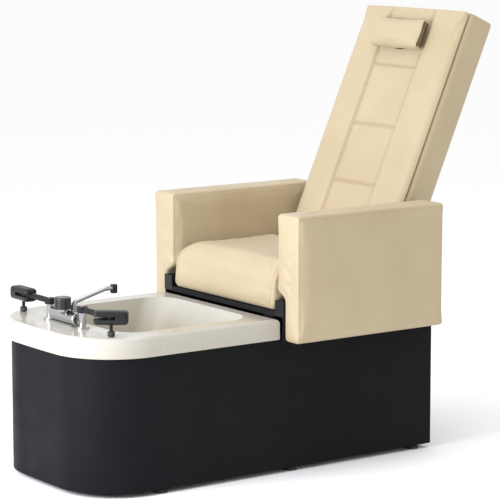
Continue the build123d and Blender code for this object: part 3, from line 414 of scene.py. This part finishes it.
def stuffed(thing, voxel, pressure, cap, held, frames=20):
    """Fills a block like a cushion: an even mesh, then its cover swells from the inside and
    settles into soft folds. held says which points are sewn or glued down, and no point
    moves further than cap."""
    even = thing.modifiers.new("even", "REMESH")
    even.mode = "VOXEL"
    even.voxel_size = voxel
    even.use_smooth_shade = True
    applied(thing)
    rest_points = coords(thing)
    sewn = held(rest_points)
    group = thing.vertex_groups.new(name="sewn")
    group.add([int(i) for i in np.nonzero(sewn)[0]], 1.0, "REPLACE")
    cloth = thing.modifiers.new("stuffing", "CLOTH")
    cloth.settings.quality = 4
    cloth.settings.mass = 0.25
    cloth.settings.tension_stiffness = 14
    cloth.settings.compression_stiffness = 8
    cloth.settings.bending_stiffness = 0.6
    cloth.settings.use_pressure = True
    cloth.settings.uniform_pressure_force = pressure
    cloth.settings.vertex_group_mass = "sewn"
    cloth.settings.effector_weights.gravity = 0.0
    cloth.collision_settings.use_collision = False
    cloth.collision_settings.use_self_collision = False
    cloth.point_cache.frame_start = 1
    cloth.point_cache.frame_end = frames
    for number in range(1, frames + 1):
        bpy.context.scene.frame_set(number)
    swollen = thing.evaluated_get(bpy.context.evaluated_depsgraph_get())
    found = np.zeros(len(swollen.data.vertices) * 3, np.float32)
    swollen.data.vertices.foreach_get("co", found)
    move = found.reshape(-1, 3).astype(float) - rest_points
    move[~np.isfinite(move).all(axis=1)] = 0.0
    thing.modifiers.clear()
    thing.vertex_groups.clear()
    bpy.context.scene.frame_set(1)
    reach = np.linalg.norm(move, axis=1, keepdims=True)
    eased = cap * np.tanh(reach / cap) / np.maximum(reach, 1e-9)
    move = move * eased
    move[sewn] = 0.0
    set_coords(thing, rest_points + move)
    return thing


def smoothed(thing, levels=1):
    """One more subdivision of a finished soft piece, shaded smooth."""
    finer = thing.modifiers.new("finer", "SUBSURF")
    finer.levels = levels
    finer.render_levels = levels
    applied(thing)
    thing.data.shade_smooth()
    return thing


for side, name, turn in ((-1, "left", 0.0), (1, "right", 54.0)):
    node = f"footrest_pad_{name}"
    low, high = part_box(node)
    centre = (low + high) / 2
    half = (PAD_LENGTH / 2 - PAD_SKIN, PAD_DEPTH / 2 - PAD_SKIN)
    outline = [(-half[0], -half[1]), (half[0], -half[1]), (half[0], half[1]), (-half[0], half[1])]
    foot_pad = extruded(f"foot_roll_{name}", outline, -PAD_HEIGHT / 2 + PAD_SKIN, PAD_HEIGHT / 2 - PAD_SKIN,
                        "Z", PAD_EDGE)
    stuffed(foot_pad, PAD_VOXEL, PAD_PRESSURE, PAD_CAP,
            lambda p: (p[:, 2] > 0.0195) & (np.hypot(p[:, 0], p[:, 1]) < 0.02), PAD_FRAMES)
    smoothed(foot_pad)
    cut = bmesh.new()
    slab = bmesh.ops.create_cube(cut, size=1.0)["verts"]
    slot_run = PAD_LENGTH / 2 + SLOT_INNER + 0.01
    bmesh.ops.scale(cut, vec=(slot_run, 0.1, 2 * SLOT_HALF), verts=slab)
    bmesh.ops.translate(cut, vec=(side * (SLOT_INNER - slot_run / 2), 0, 0), verts=slab)
    cut_mesh = bpy.data.meshes.new("pad_cut")
    cut.to_mesh(cut_mesh)
    cut.free()
    slot_block = shown("pad_cut", cut_mesh)
    hole = bmesh.new()
    bmesh.ops.create_cone(hole, segments=32, radius1=PIN_HOLE, radius2=PIN_HOLE, depth=PAD_HEIGHT,
                          cap_ends=True)
    bmesh.ops.translate(hole, vec=(0, 0, -PAD_HEIGHT / 2), verts=list(hole.verts))
    hole_mesh = bpy.data.meshes.new("pin_cut")
    hole.to_mesh(hole_mesh)
    hole.free()
    pin_block = shown("pin_cut", hole_mesh)
    for block in (slot_block, pin_block):
        carve = foot_pad.modifiers.new("carve", "BOOLEAN")
        carve.operation = "DIFFERENCE"
        carve.object = block
    applied(foot_pad)
    bpy.data.objects.remove(slot_block)
    bpy.data.objects.remove(pin_block)
    foot_pad.data.transform(Matrix.Translation(centre) @ Matrix.Rotation(radians(turn), 4, "Z"))
    foot_pad.data.materials.clear()
    foot_pad.data.materials.append(pad_skin)
    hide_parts(node)
    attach(foot_pad, f"pad_{name}")

# ------------------------------------------------------------------ seat slide and chair frame
# Bright steel rails on the board, plastic slide blocks, and a black-painted frame: pan, side
# beams that reach out under the arms, a cross bar and a rear valance.
bright_steel, _ = worn_finish("bright_steel", (0.60, 0.60, 0.61), 0.22, 600, 0.00003, metallic=1.0)
finish(bright_steel, "slide_rails", "slide_screw", "hinge_pins", "recline_rod", "recline_pin")
finish(black_plastic, "slide_blocks", "beam_end_caps", "headrest_track", "headrest_carrier")
finish(motor_paint, "slide_drive", "recline_drive")
finish(frame_paint, "rear_crossbar", "side_beam_left", "side_beam_right", "rear_valance",
       "hinge_brackets", "back_frame")

# ------------------------------------------------------------------ seat cushion
# Moulded foam under cream leather with a rolled front edge. The cover is sewn from a top
# panel that runs down over the front and two side panels, with a double row of stitches.
SEAT_LOW = Vector((-0.281, -0.1071, 0.507))
SEAT_HIGH = Vector((0.281, 0.3124, 0.650))
SEAT_TUCK = 0.004
SEAT_ROLL = 0.058
SEAT_EDGE = 0.020
LEATHER_LIGHT = (0.462, 0.376, 0.243)
LEATHER_DEEP = (0.425, 0.340, 0.212)
LEATHER_SEAM_SHADE = (0.30, 0.22, 0.12)
THREAD_COLOUR = (0.52, 0.43, 0.29)

leather, tree, shader, place = new_finish("cream_leather", LEATHER_LIGHT, 0.45)
# the "seam" attribute darkens the leather along the pulled-in seams: painted shade in the creases
seam_shade = tree.nodes.new("ShaderNodeAttribute")
seam_shade.attribute_name = "seam"
body_colour = tree.nodes.new("ShaderNodeMix")
body_colour.data_type = "RGBA"
tinted(tree, noise_of(tree, place, 5.5, 5), LEATHER_DEEP, LEATHER_LIGHT, body_colour.inputs[6])
body_colour.inputs[7].default_value = (*LEATHER_SEAM_SHADE, 1)
tree.links.new(seam_shade.outputs["Fac"], body_colour.inputs[0])
tree.links.new(body_colour.outputs[2], shader.inputs["Base Color"])
ranged(tree, noise_of(tree, place, 40, 4), 0.40, 0.54, shader.inputs["Roughness"])
pebble = tree.nodes.new("ShaderNodeTexVoronoi")
pebble.feature = "DISTANCE_TO_EDGE"
pebble.inputs["Scale"].default_value = 620
tree.links.new(place, pebble.inputs["Vector"])
raised(tree, shader, pebble.outputs["Distance"], 0.0004, 0.35)
raised(tree, shader, noise_of(tree, place, 90, 6), 0.0011, 0.16)
raised(tree, shader, noise_of(tree, place, 16, 4), 0.004, 0.10)
shader.inputs["Specular IOR Level"].default_value = 0.4
shader.inputs["Sheen Weight"].default_value = 0.08

thread, tree, shader, place = new_finish("seam_thread", THREAD_COLOUR, 0.6)
ply = tree.nodes.new("ShaderNodeTexWave")
ply.bands_direction = "DIAGONAL"
ply.inputs["Scale"].default_value = 900
tree.links.new(place, ply.inputs["Vector"])
raised(tree, shader, ply.outputs["Fac"], 0.0002, 0.7)


def stitch_tree():
    """Stitches laid end to end along lines: short rounded threads, one every Spacing."""
    group = bpy.data.node_groups.new("stitches", "GeometryNodeTree")
    face = group.interface
    face.new_socket("Lines", in_out="INPUT", socket_type="NodeSocketGeometry")
    spacing = face.new_socket("Spacing", in_out="INPUT", socket_type="NodeSocketFloat")
    spacing.default_value = 0.0065
    length = face.new_socket("Stitch Length", in_out="INPUT", socket_type="NodeSocketFloat")
    length.default_value = 0.0046
    radius = face.new_socket("Thread Radius", in_out="INPUT", socket_type="NodeSocketFloat")
    radius.default_value = 0.00042
    face.new_socket("Thread", in_out="INPUT", socket_type="NodeSocketMaterial")
    face.new_socket("Stitches", in_out="OUTPUT", socket_type="NodeSocketGeometry")
    node = group.nodes.new
    link = group.links.new
    source, sink = node("NodeGroupInput"), node("NodeGroupOutput")
    curve = node("GeometryNodeMeshToCurve")
    even = node("GeometryNodeResampleCurve")
    even.mode = "LENGTH"
    tangent = node("GeometryNodeInputTangent")
    turn = node("FunctionNodeAlignRotationToVector")
    turn.axis = "Z"
    one = node("GeometryNodeMeshCylinder")
    one.inputs["Vertices"].default_value = 6
    place_each = node("GeometryNodeInstanceOnPoints")
    real = node("GeometryNodeRealizeInstances")
    smooth = node("GeometryNodeSetShadeSmooth")
    paint = node("GeometryNodeSetMaterial")
    link(source.outputs["Lines"], curve.inputs["Mesh"])
    link(curve.outputs["Curve"], even.inputs["Curve"])
    link(source.outputs["Spacing"], even.inputs["Length"])
    link(tangent.outputs["Tangent"], turn.inputs["Vector"])
    link(source.outputs["Thread Radius"], one.inputs["Radius"])
    link(source.outputs["Stitch Length"], one.inputs["Depth"])
    link(even.outputs["Curve"], place_each.inputs["Points"])
    link(one.outputs["Mesh"], place_each.inputs["Instance"])
    link(turn.outputs["Rotation"], place_each.inputs["Rotation"])
    link(place_each.outputs["Instances"], real.inputs["Geometry"])
    link(real.outputs["Geometry"], smooth.inputs["Geometry"])
    link(smooth.outputs["Geometry"], paint.inputs["Geometry"])
    link(source.outputs["Thread"], paint.inputs["Material"])
    link(paint.outputs["Geometry"], sink.inputs["Stitches"])
    return group


STITCHES = stitch_tree()


def stitched(name, rows, body):
    """Rows of stitches, each a list of points on a cover, as one piece that rides that body."""
    mesh = bpy.data.meshes.new(name)
    points, edges = [], []
    for row in rows:
        first = len(points)
        points += [tuple(p) for p in row]
        edges += [(first + i, first + i + 1) for i in range(len(row) - 1)]
    mesh.from_pydata(points, edges, [])
    thing = shown(name, mesh)
    sewing = thing.modifiers.new("sewing", "NODES")
    sewing.node_group = STITCHES
    for item in STITCHES.interface.items_tree:
        if item.name == "Thread":
            sewing[item.identifier] = thread
    applied(thing)
    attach(thing, body)
    return thing


def line(points, step=0.004):
    """A polyline through the given points with an even small step."""
    out = []
    for a, b in zip(points[:-1], points[1:]):
        a, b = Vector(a), Vector(b)
        count = max(1, int((b - a).length / step))
        out += [a.lerp(b, i / count) for i in range(count)]
    out.append(Vector(points[-1]))
    return out


def laid(cover, points, lift=0.0002):
    """Drops points onto a cover's surface, standing proud of it by lift."""
    corners = [v.co for v in cover.data.vertices]
    tree = BVHTree.FromPolygons(corners, [p.vertices for p in cover.data.polygons])
    out = []
    for point in points:
        spot, normal, _, _ = tree.find_nearest(point)
        out.append(spot + normal * lift)
    return out


def sewn_in(cover, seams, depth, width, shade_strength=0.45):
    """Pulls the cover in along its seams and marks them for painted shade in the creases there."""
    spots = [p for seam in seams for p in seam]
    near = KDTree(len(spots))
    for i, p in enumerate(spots):
        near.insert(p, i)
    near.balance()
    normals = np.zeros(len(cover.data.vertices) * 3, np.float32)
    cover.data.vertices.foreach_get("normal", normals)
    normals = normals.reshape(-1, 3).astype(float)
    points = coords(cover)
    gap = np.array([near.find(Vector(p))[2] for p in points])
    pull = np.exp(-((gap / width) ** 2))
    set_coords(cover, points - normals * (depth * pull)[:, None])
    # the seam mark sets how much painted shade the leather gets in the creases
    mark = cover.data.attributes.new("seam", "FLOAT", "POINT")
    mark.data.foreach_set("value", (shade_strength * np.exp(-((gap / (0.6 * width)) ** 2))).astype(np.float32))


def upholstered(cover, body, nodes):
    cover.data.materials.clear()
    cover.data.materials.append(leather)
    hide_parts(*nodes)
    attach(cover, body)


roll_top = SEAT_HIGH.z - 0.006
roll_front = SEAT_LOW.y + SEAT_TUCK
arc = [(roll_front + SEAT_ROLL * (1 - cos(a)), roll_top - SEAT_ROLL * (1 - sin(a)))
       for a in [radians(10 * i) for i in range(10)]]
seat_outline = [(SEAT_HIGH.y - SEAT_TUCK, SEAT_LOW.z), (roll_front + 0.008, SEAT_LOW.z),
                (roll_front, SEAT_LOW.z + 0.012), *arc, (SEAT_HIGH.y - SEAT_TUCK, roll_top)]
seat_cover = extruded("seat_cover", seat_outline, SEAT_LOW.x + SEAT_TUCK, SEAT_HIGH.x - SEAT_TUCK,
                      "X", SEAT_EDGE)
stuffed(seat_cover, 0.0068, 4.0, 0.014, lambda p: p[:, 2] < SEAT_LOW.z + 0.006)
points = coords(seat_cover)
points[:, 0] = np.clip(points[:, 0], SEAT_LOW.x, SEAT_HIGH.x)
points[:, 1] = np.clip(points[:, 1], SEAT_LOW.y - 0.006, SEAT_HIGH.y + 0.001)
points[:, 2] = np.clip(points[:, 2], SEAT_LOW.z + 0.0004, SEAT_HIGH.z + 0.012)
set_coords(seat_cover, points)
smoothed(seat_cover)
seat_rows, seat_seams = [], []
for side in (-1, 1):
    seam_x = side * (SEAT_HIGH.x - 0.022)
    path = [(seam_x, SEAT_LOW.y, SEAT_LOW.z + 0.012), (seam_x, SEAT_LOW.y, roll_top - SEAT_ROLL)]
    path += [(seam_x, y, z) for y, z in arc] + [(seam_x, SEAT_HIGH.y - 0.03, roll_top)]
    seat_seams.append(laid(seat_cover, line(path), 0.0))
sewn_in(seat_cover, seat_seams, 0.0032, 0.0045)
for side, seam in zip((-1, 1), seat_seams):
    for offset in (-0.0055, 0.0055):
        seat_rows.append(laid(seat_cover, [p + Vector((offset, 0, 0)) for p in seam]))
upholstered(seat_cover, "chair", ["seat_cushion"])
stitched("seat_stitches", seat_rows, "chair")

# ------------------------------------------------------------------ armrests
# Plywood cores padded with thin foam and covered in leather. The long outer and inner
# panels are sewn to one strip that runs over the top and down the front.
ARM_INNER, ARM_OUTER, ARM_BEAM = 0.284, 0.400, 0.329
ARM_FRONT, ARM_REAR = -0.1011, 0.4849
ARM_BOTTOM, ARM_TOP, NOTCH_TOP, NOTCH_BEVEL = 0.416, 0.817, 0.550, 0.025
ARM_SKIN = 0.0022
ARM_CAP = 0.0042
BEAM_GAP = 0.0006
SEAM_INSET = 0.013

for side, name in ((-1, "left"), (1, "right")):
    outline = [(side * (ARM_BEAM + BEAM_GAP), ARM_BOTTOM + ARM_SKIN),
               (side * (ARM_OUTER - ARM_SKIN), ARM_BOTTOM + ARM_SKIN),
               (side * (ARM_OUTER - ARM_SKIN), ARM_TOP - ARM_SKIN),
               (side * (ARM_INNER + ARM_SKIN), ARM_TOP - ARM_SKIN),
               (side * (ARM_INNER + ARM_SKIN), NOTCH_TOP + NOTCH_BEVEL),
               (side * (ARM_BEAM + BEAM_GAP), NOTCH_TOP)]
    arm_cover = extruded(f"arm_cover_{name}", outline, ARM_FRONT + ARM_SKIN, ARM_REAR - ARM_SKIN,
                         "Y", 0.0105)
    stuffed(arm_cover, 0.0072, 2.2, ARM_CAP,
            lambda p: (p[:, 2] < NOTCH_TOP + NOTCH_BEVEL) & (np.abs(p[:, 0]) < ARM_BEAM + 0.006)
            | (p[:, 2] < ARM_BOTTOM + 0.006))
    points = coords(arm_cover)
    away = np.abs(points[:, 0])
    lowest = np.where(points[:, 2] < NOTCH_TOP - 0.004, ARM_BEAM + 0.0003, ARM_INNER - 0.001)
    points[:, 0] = side * np.clip(away, lowest, ARM_OUTER + 0.003)
    set_coords(arm_cover, points)
    smoothed(arm_cover)
    outer = side * (ARM_OUTER + 0.001)
    inner = side * (ARM_INNER - 0.001)
    near_y, far_y, top_z = ARM_FRONT + SEAM_INSET, ARM_REAR - SEAM_INSET, ARM_TOP - SEAM_INSET
    arm_seams = []
    for seam_x, low_z in ((outer, ARM_BOTTOM + 0.012), (inner, NOTCH_TOP + 0.036)):
        seam = line([(seam_x, near_y, low_z), (seam_x, near_y, top_z),
                     (seam_x, far_y, top_z), (seam_x, far_y, low_z)])
        arm_seams.append(laid(arm_cover, seam, 0.0))
    sewn_in(arm_cover, arm_seams, 0.0016, 0.0038, 0.3)
    rows = []
    centre_y, centre_z = (ARM_FRONT + ARM_REAR) / 2, (ARM_BOTTOM + ARM_TOP) / 2
    for seam in arm_seams:
        shrunk = [Vector((p.x, centre_y + (p.y - centre_y) * 0.985, centre_z + (p.z - centre_z) * 0.975))
                  for p in seam]
        rows.append(laid(arm_cover, shrunk))
    upholstered(arm_cover, "chair", [f"armrest_{name}"])
    stitched(f"arm_stitches_{name}", rows, "chair")

plywood, _ = worn_finish("plywood", (0.52, 0.36, 0.2), 0.65, 160, 0.0004)
finish(plywood, "arm_core_left", "arm_core_right")
finish(zinc_plate, "arm_bolts")

# ------------------------------------------------------------------ reclining back
# A steel frame with a leather-covered shell behind and a foam front cushion. The front is
# sewn into a centre column of four pads between two plain side bolsters.
BACK_HALF = 0.264
BACK_START, BACK_TOP = 0.045, 0.925
BACK_SPLIT = 0.036
BACK_FRONT, BACK_REAR = 0.060, -0.070
COLUMN_HALF = 0.109
CROSS_SEAMS = (0.301, 0.504, 0.715)
HINGE = Vector((0, 0.354913, 0.540))
UP_BACK = Vector((0, 0.406737, 0.913545))
OUT_BACK = Vector((0, -0.913545, 0.406737))
back_matrix = Matrix(((1, 0, 0, HINGE.x), (0, UP_BACK.y, OUT_BACK.y, HINGE.y),
                      (0, UP_BACK.z, OUT_BACK.z, HINGE.z), (0, 0, 0, 1)))

# front cushion, made flat with u up the back and n out of it, then laid on the back's slope
edge = 0.003
outline = [(-BACK_HALF + edge, BACK_START + edge), (BACK_HALF - edge, BACK_START + edge),
           (BACK_HALF - edge, BACK_TOP - edge), (-BACK_HALF + edge, BACK_TOP - edge)]
back_front = extruded("back_front", outline, BACK_SPLIT, BACK_FRONT - 0.002, "Z", 0.0105)


def back_sewn(p):
    """Where the front cushion is sewn down: its rim, the two long seams and three cross seams."""
    rim = p[:, 2] < BACK_SPLIT + 0.006
    column = np.abs(np.abs(p[:, 0]) - COLUMN_HALF) < 0.0042
    across = np.zeros(len(p), bool)
    for u in CROSS_SEAMS:
        across |= (np.abs(p[:, 1] - u) < 0.0042) & (np.abs(p[:, 0]) < COLUMN_HALF)
    return rim | column | across


stuffed(back_front, 0.0070, 3.4, 0.009, back_sewn)
points = coords(back_front)
behind_track = (np.abs(points[:, 0]) < 0.035) & (points[:, 1] > 0.70)
ceiling = np.where(behind_track, BACK_FRONT - 0.0006, BACK_FRONT + 0.0065)
points[:, 2] = np.minimum(points[:, 2], ceiling)
points[:, 0] = np.clip(points[:, 0], -BACK_HALF, BACK_HALF)
points[:, 1] = np.clip(points[:, 1], BACK_START, BACK_TOP + 0.004)
set_coords(back_front, points)
smoothed(back_front)
seam_lift = BACK_FRONT + 0.002
back_seams = [line([(side * COLUMN_HALF, BACK_START + 0.01, seam_lift),
                    (side * COLUMN_HALF, BACK_TOP - 0.012, seam_lift)]) for side in (-1, 1)]
back_seams += [line([(-COLUMN_HALF, u, seam_lift), (COLUMN_HALF, u, seam_lift)]) for u in CROSS_SEAMS]
back_seams = [laid(back_front, seam, 0.0) for seam in back_seams]
sewn_in(back_front, back_seams, 0.0048, 0.0058, 0.55)
rows = []
for index, seam in enumerate(back_seams):
    for offset in (-0.007, 0.007):
        shift = Vector((offset, 0, 0)) if index < 2 else Vector((0, offset, 0))
        rows.append(laid(back_front, [p + shift for p in seam]))
rows = [[back_matrix @ p for p in row] for row in rows]
back_front.data.transform(back_matrix)
upholstered(back_front, "back", ["back_cushion"])
stitched("back_stitches", rows, "back")

# shell cover: leather over the sides, top and rear in one plain panel each
outline = [(-BACK_HALF + 0.002, BACK_START + 0.002), (BACK_HALF - 0.002, BACK_START + 0.002),
           (BACK_HALF - 0.002, BACK_TOP - 0.002), (-BACK_HALF + 0.002, BACK_TOP - 0.002)]
back_wrap = extruded("back_wrap", outline, BACK_REAR + 0.002, BACK_SPLIT - 0.0004, "Z", 0.009)
stuffed(back_wrap, 0.0085, 2.0, 0.0035,
        lambda p: (p[:, 2] > BACK_SPLIT - 0.008) | (np.abs(p[:, 0]) > BACK_HALF - 0.006)
        | (p[:, 1] > BACK_TOP - 0.006))
points = coords(back_wrap)
points[:, 0] = np.clip(points[:, 0], -BACK_HALF, BACK_HALF)
set_coords(back_wrap, points)
smoothed(back_wrap)
rear_inset = 0.016
rear_seam = line([(-BACK_HALF + rear_inset, BACK_START + 0.01, BACK_REAR),
                  (-BACK_HALF + rear_inset, BACK_TOP - rear_inset, BACK_REAR),
                  (BACK_HALF - rear_inset, BACK_TOP - rear_inset, BACK_REAR),
                  (BACK_HALF - rear_inset, BACK_START + 0.01, BACK_REAR)])
rear_seam = laid(back_wrap, rear_seam, 0.0)
sewn_in(back_wrap, [rear_seam], 0.0022, 0.0045, 0.35)
back_middle = 0.485
shrunk = [Vector((p.x * 0.972, back_middle + (p.y - back_middle) * 0.984, p.z)) for p in rear_seam]
inner_row = laid(back_wrap, shrunk)
back_wrap.data.transform(back_matrix)
upholstered(back_wrap, "back", ["back_shell"])
stitched("back_rear_stitches", [[back_matrix @ p for p in inner_row]], "back")

# ------------------------------------------------------------------ headrest
# A small leather pillow on a plastic carrier that slides down a track on the back's front,
# with a sewn edge all round.
PILLOW_HALF, PILLOW_LOW, PILLOW_HIGH = 0.130, 0.764, 0.870
PILLOW_BACK, PILLOW_FRONT = 0.0703, 0.1103
outline = [(-PILLOW_HALF + 0.004, PILLOW_LOW + 0.004), (PILLOW_HALF - 0.004, PILLOW_LOW + 0.004),
           (PILLOW_HALF - 0.004, PILLOW_HIGH - 0.004), (-PILLOW_HALF + 0.004, PILLOW_HIGH - 0.004)]
pillow = extruded("head_pillow", outline, PILLOW_BACK + 0.0005, PILLOW_FRONT - 0.006, "Z", 0.012)
stuffed(pillow, 0.0042, 4.0, 0.009, lambda p: p[:, 2] < PILLOW_BACK + 0.004)
points = coords(pillow)
points[:, 2] = np.clip(points[:, 2], PILLOW_BACK + 0.0003, PILLOW_FRONT + 0.004)
set_coords(pillow, points)
smoothed(pillow)
level = (PILLOW_BACK + PILLOW_FRONT) / 2 - 0.006
pillow_seam = line([(-PILLOW_HALF, PILLOW_LOW, level), (PILLOW_HALF, PILLOW_LOW, level),
                    (PILLOW_HALF, PILLOW_HIGH, level), (-PILLOW_HALF, PILLOW_HIGH, level),
                    (-PILLOW_HALF, PILLOW_LOW, level)])
pillow_seam = laid(pillow, pillow_seam, 0.0)
sewn_in(pillow, [pillow_seam], 0.0018, 0.0032, 0.45)
pillow_row = laid(pillow, [p + Vector((0, 0, 0.005)) for p in pillow_seam])
pillow.data.transform(back_matrix)
upholstered(pillow, "headrest", ["headrest_pillow"])
# both end faces of the pillow get a dark olive-brown: painted shade, standing in for the shade on the
# pillow's sides
painted_end_shade, _ = worn_finish("pillow_end_shade", (0.085, 0.060, 0.022), 0.6, 700, 0.0002)
pillow.data.materials.append(painted_end_shade)
for patch in pillow.data.polygons:
    if abs(patch.center.x) > PILLOW_HALF - 0.0075 and abs(patch.normal.x) > 0.55:
        patch.material_index = 1
stitched("pillow_stitches", [[back_matrix @ p for p in pillow_row]], "headrest")
